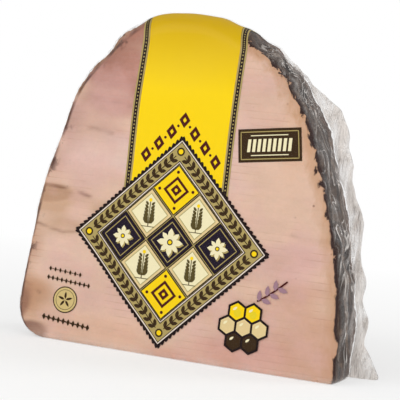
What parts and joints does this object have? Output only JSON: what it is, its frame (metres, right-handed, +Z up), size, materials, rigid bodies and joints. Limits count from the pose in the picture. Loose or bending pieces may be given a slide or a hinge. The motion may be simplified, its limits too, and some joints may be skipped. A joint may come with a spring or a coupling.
{
  "type": "vacuum-packed sliced quarter ham",
  "caption": "Bullet-shaped quarter ham with a flat pink cut face and a dark smoked rind, sliced and sealed in tight clear printed film with loose crumpled side flaps.",
  "frame": {"origin": "centre of the pack's bounding box, on the flat crosswise cut that it stands on", "axes": "+X to the viewer's right along the pack's width, +Y from the lengthwise cut face to the rounded back, +Z up from the base to the crest"},
  "size_m": [0.1764, 0.0726, 0.1605],
  "materials": {
    "packed_meat": "moist rosy cooked ham with a dark smoked rind, under tight glossy clear film",
    "clear_film": "clear glossy vacuum film, a little milky where it is loose and crumpled",
    "film_print": "flexible printing ink on film, mostly golden yellow, tan and dark brown"
  },
  "bodies": {
    "root": {"ham_pack": "packed_meat"}
  },
  "joints": []
}
